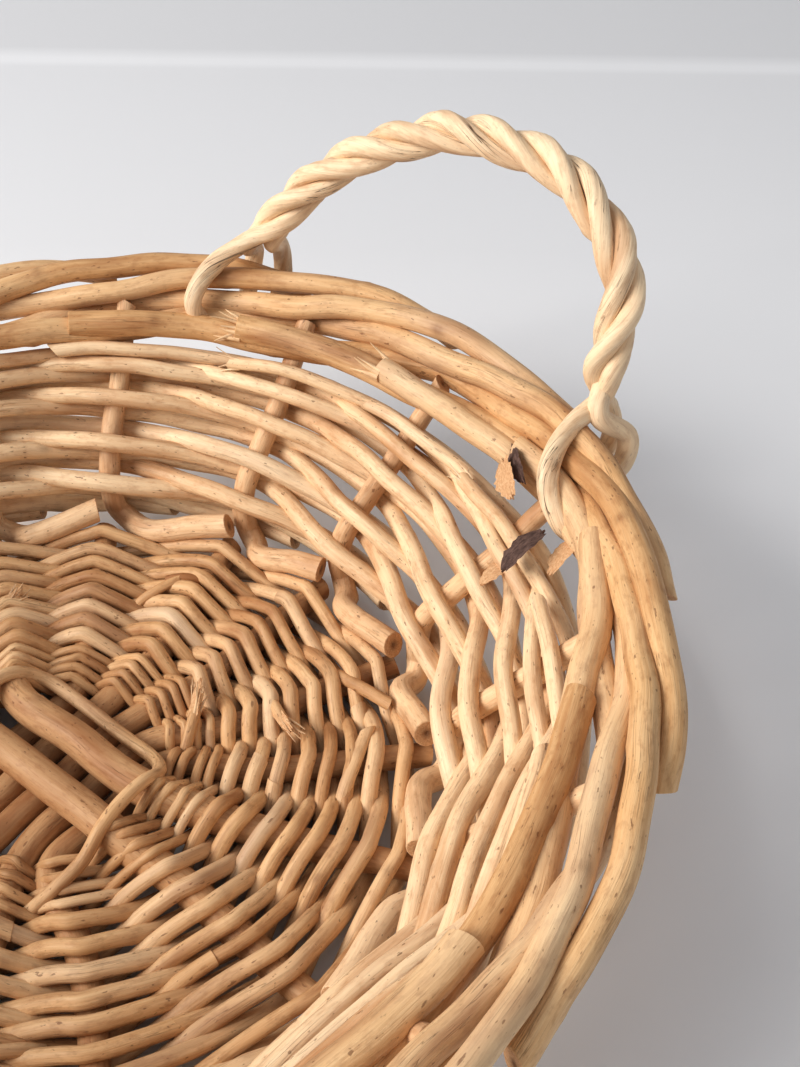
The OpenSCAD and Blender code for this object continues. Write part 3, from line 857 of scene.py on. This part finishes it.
def willow(name, light, mid, dark, specks=1.0, cracks=0.3):
    """Peeled willow: fibre streaks, blotches, specks, slits and knots, all along the grain."""
    sh = Shader(name)
    grain = sh.attribute("grain", "Vector")
    streak = sh.noise(sh.stretched(grain, 0.045, 0.75), 4, 0.6)
    fibre = sh.noise(sh.stretched(grain, 0.11, 3.4), 3, 0.6)
    blotch = sh.noise(sh.stretched(grain, 0.02, 0.11), 3, 0.55)
    speck = sh.ramp(sh.noise(sh.stretched(grain, 0.33, 0.8), 2), 0.665, 0.72)
    slit = sh.noise(sh.stretched(grain, 0.028, 0.8), 1)
    slit = sh.math("ABSOLUTE", sh.math("SUBTRACT", slit, 0.5))
    slit = sh.ramp(slit, 0.0, 0.010, 1.0, 0.0)
    slit_here = sh.ramp(sh.noise(sh.stretched(grain, 0.03, 0.12), 1), 0.52, 0.62)
    slit = sh.math("MULTIPLY", sh.math("MULTIPLY", slit, slit_here), cracks)
    colour = sh.blend(sh.ramp(streak, 0.30, 0.70, 0.15, 0.85), mid, light)
    mottle = sh.noise(sh.stretched(grain, 0.22, 0.5), 4, 0.6)
    colour = sh.blend(sh.ramp(mottle, 0.50, 0.74, 0.0, 0.5), colour, dark)
    colour = sh.blend(sh.ramp(blotch, 0.50, 0.70, 0.0, 0.75), colour, dark)
    tone = sh.attribute("tone")
    colour = sh.blend(sh.ramp(tone, 0.0, 1.6, 0.0, 0.5), colour, rgb(250, 230, 200))
    colour = sh.blend(sh.ramp(tone, 0.0, -1.6, 0.0, 0.8), colour, dark)
    colour = sh.blend(sh.ramp(fibre, 0.56, 0.74, 0.0, 0.35), colour, rgb(150, 98, 56))
    colour = sh.blend(sh.math("MULTIPLY", speck, 0.6 * specks), colour, rgb(112, 66, 36))
    colour = sh.blend(sh.math("MULTIPLY", sh.attribute("mark"), 0.62), colour, rgb(120, 72, 40))
    colour = sh.blend(slit, colour, rgb(84, 48, 26))
    height = sh.math("ADD", sh.math("MULTIPLY", streak, 0.8), sh.math("MULTIPLY", fibre, 0.35))
    height = sh.math("SUBTRACT", height, sh.math("MULTIPLY", slit, 1.2))
    roughness = sh.ramp(streak, 0.3, 0.7, 0.6, 0.44)
    return sh.surface(colour, roughness, height, 0.00035)


def end_grain(name):
    """A cut end: pale wood, darker and cracked towards its pith."""
    sh = Shader(name)
    grain = sh.attribute("grain", "Vector")
    fine = sh.noise(sh.stretched(grain, 1.0, 1.6), 4, 0.65)
    colour = sh.blend(sh.ramp(fine, 0.35, 0.7), rgb(200, 152, 110), rgb(232, 194, 152))
    colour = sh.blend(sh.math("MULTIPLY", sh.attribute("mark"), 0.75), colour, rgb(92, 56, 34))
    return sh.surface(colour, 0.75, fine, 0.0004)


def bark(name):
    """A scrap of bark that was left on: dark, rough and cracked along the grain."""
    sh = Shader(name)
    grain = sh.attribute("grain", "Vector")
    coarse = sh.noise(sh.stretched(grain, 0.35, 0.9), 4, 0.7)
    colour = sh.blend(sh.ramp(coarse, 0.35, 0.68), rgb(72, 52, 46), rgb(124, 98, 88))
    return sh.surface(colour, 0.85, coarse, 0.0009)


def willow_set(kind, light, mid, dark, **looks):
    """The materials of one kind of piece, in the order of WOOD, PALE and BARK_LEFT_ON."""
    return [willow(f"{kind}_willow", rgb(*light), rgb(*mid), rgb(*dark), **looks), END_GRAIN,
            BARK]


END_GRAIN = end_grain("cut_end_grain")
BARK = bark("bark")
STICK_MATERIALS = willow_set("base_stick", (226, 188, 144), (206, 160, 114), (152, 97, 55))
WEAVER_MATERIALS = willow_set("base_weaver", (234, 197, 151), (210, 164, 116), (152, 95, 51))
STAKE_MATERIALS = willow_set("stake", (248, 217, 178), (234, 194, 150), (178, 124, 80))
WALE_MATERIALS = willow_set("side_weaver", (251, 226, 189), (239, 202, 159), (188, 133, 86))
BORDER_MATERIALS = willow_set("border", (236, 199, 151), (213, 165, 113), (160, 104, 58))
HANDLE_MATERIALS = willow_set("handle", (250, 228, 195), (237, 202, 162), (182, 131, 86),
                              specks=0.45, cracks=0.9)

# ---------------------------------------------------------------- assembly
for n in range(5):
    base_stick(n)
for n in range(2):
    cross_stick(n)
slath_tie()
base_weave()
closing_row()
for j in range(COUNT):
    stake(j)
    side_rod(j)
    border_rod(j)
for s in range(3):
    handle_strand("right", False, s)
    handle_strand("left", True, s)

# ---------------------------------------------------------------- stage
# The floor and the wall behind it: distance behind the basket, height, and how pale it is.
# How pale it is paints the light on it: a painted pool of light round the basket, dimmer
# towards the camera, and painted shade further back and on the wall. The steps from 483 to
# 517 are the painted shade and highlight of a faint crease across the floor, which stays flat
FAR_SHADE = 0.31
BACKDROP_PROFILE = [
    (-3000, 0, 0.6), (-250, 0, 0.62), (-80, 0, 0.82), (20, 0, 0.92), (120, 0, 0.98),
    (314, 0, 0.55), (483, 0, 0.45), (493, 0, 0.46), (499, 0, 0.62), (504, 0, 0.62),
    (517, 0, FAR_SHADE), (560, 0, FAR_SHADE), (2600, 0, FAR_SHADE), (2760, 20, FAR_SHADE),
    (2900, 80, FAR_SHADE), (2980, 180, FAR_SHADE), (3000, 300, FAR_SHADE),
    (3005, 3000, FAR_SHADE)]
BACKDROP_HALF = 4000
# How far the painted crease is turned from straight across the view
CREASE_TURN = math.radians(1.6)
# The light from a window at the back left, aimed at the basket, and the room's own light.
# Its size is in metres and its power in watts
WINDOW_AT, WINDOW_AIM, WINDOW_SIZE, WINDOW_POWER = (-1500, 1200, 1450), (0, 0, 40), (1.5, 1.3), 58
WINDOW_COLOUR, ROOM_COLOUR, ROOM_STRENGTH = (1.0, 0.98, 0.95), (0.95, 0.97, 1.0, 1), 0.45


def backdrop_material():
    """Plain pale paper, with the light and shade on it painted into its colour: as pale at each
    place as the profile says.
    """
    sh = Shader("pale_backdrop")
    # Painted light and shade: from painted shade at rgb(200, 200, 202) to painted light at
    # rgb(247, 247, 249)
    colour = sh.blend(sh.attribute("painted_light"), rgb(200, 200, 202), rgb(247, 247, 249))
    return sh.surface(colour, 0.6)


def backdrop():
    """A pale floor that curves up into a pale wall behind the basket."""
    heading = math.atan2(CAMERA_LOOKS[1], CAMERA_LOOKS[0]) - CREASE_TURN
    look = np.array([math.cos(heading), math.sin(heading)])
    across = np.array([look[1], -look[0]])
    verts, faces = [], []
    for distance, height, _ in BACKDROP_PROFILE:
        for side in (-BACKDROP_HALF, BACKDROP_HALF):
            at = look * distance + across * side
            verts.append((at[0] * MM, at[1] * MM, height * MM))
    for k in range(len(BACKDROP_PROFILE) - 1):
        faces.append((2 * k, 2 * k + 1, 2 * k + 3, 2 * k + 2))
    mesh = bpy.data.meshes.new("backdrop")
    mesh.from_pydata(verts, [], faces)
    mesh.materials.append(backdrop_material())
    # Each point takes its painted light and shade from the profile's paleness
    painted_light = mesh.attributes.new("painted_light", "FLOAT", "POINT")
    painted_light.data.foreach_set("value", [pale for _, _, pale in BACKDROP_PROFILE for _ in range(2)])
    mesh.polygons.foreach_set("use_smooth", [True] * len(faces))
    floor = bpy.data.objects.new("backdrop", mesh)
    bpy.context.collection.objects.link(floor)


def window():
    data = bpy.data.lights.new("window", "AREA")
    data.shape = "RECTANGLE"
    data.size, data.size_y = WINDOW_SIZE
    data.energy = WINDOW_POWER
    data.color = WINDOW_COLOUR
    light = bpy.data.objects.new("window", data)
    bpy.context.collection.objects.link(light)
    light.location = Vector(WINDOW_AT) * MM
    way = Vector(WINDOW_AIM) - Vector(WINDOW_AT)
    light.rotation_euler = way.to_track_quat("-Z", "Y").to_euler()


def room():
    world = bpy.data.worlds.new("soft_room")
    bpy.context.scene.world = world
    world.use_nodes = True
    background = world.node_tree.nodes["Background"]
    background.inputs["Color"].default_value = ROOM_COLOUR
    background.inputs["Strength"].default_value = ROOM_STRENGTH


backdrop()
window()
room()
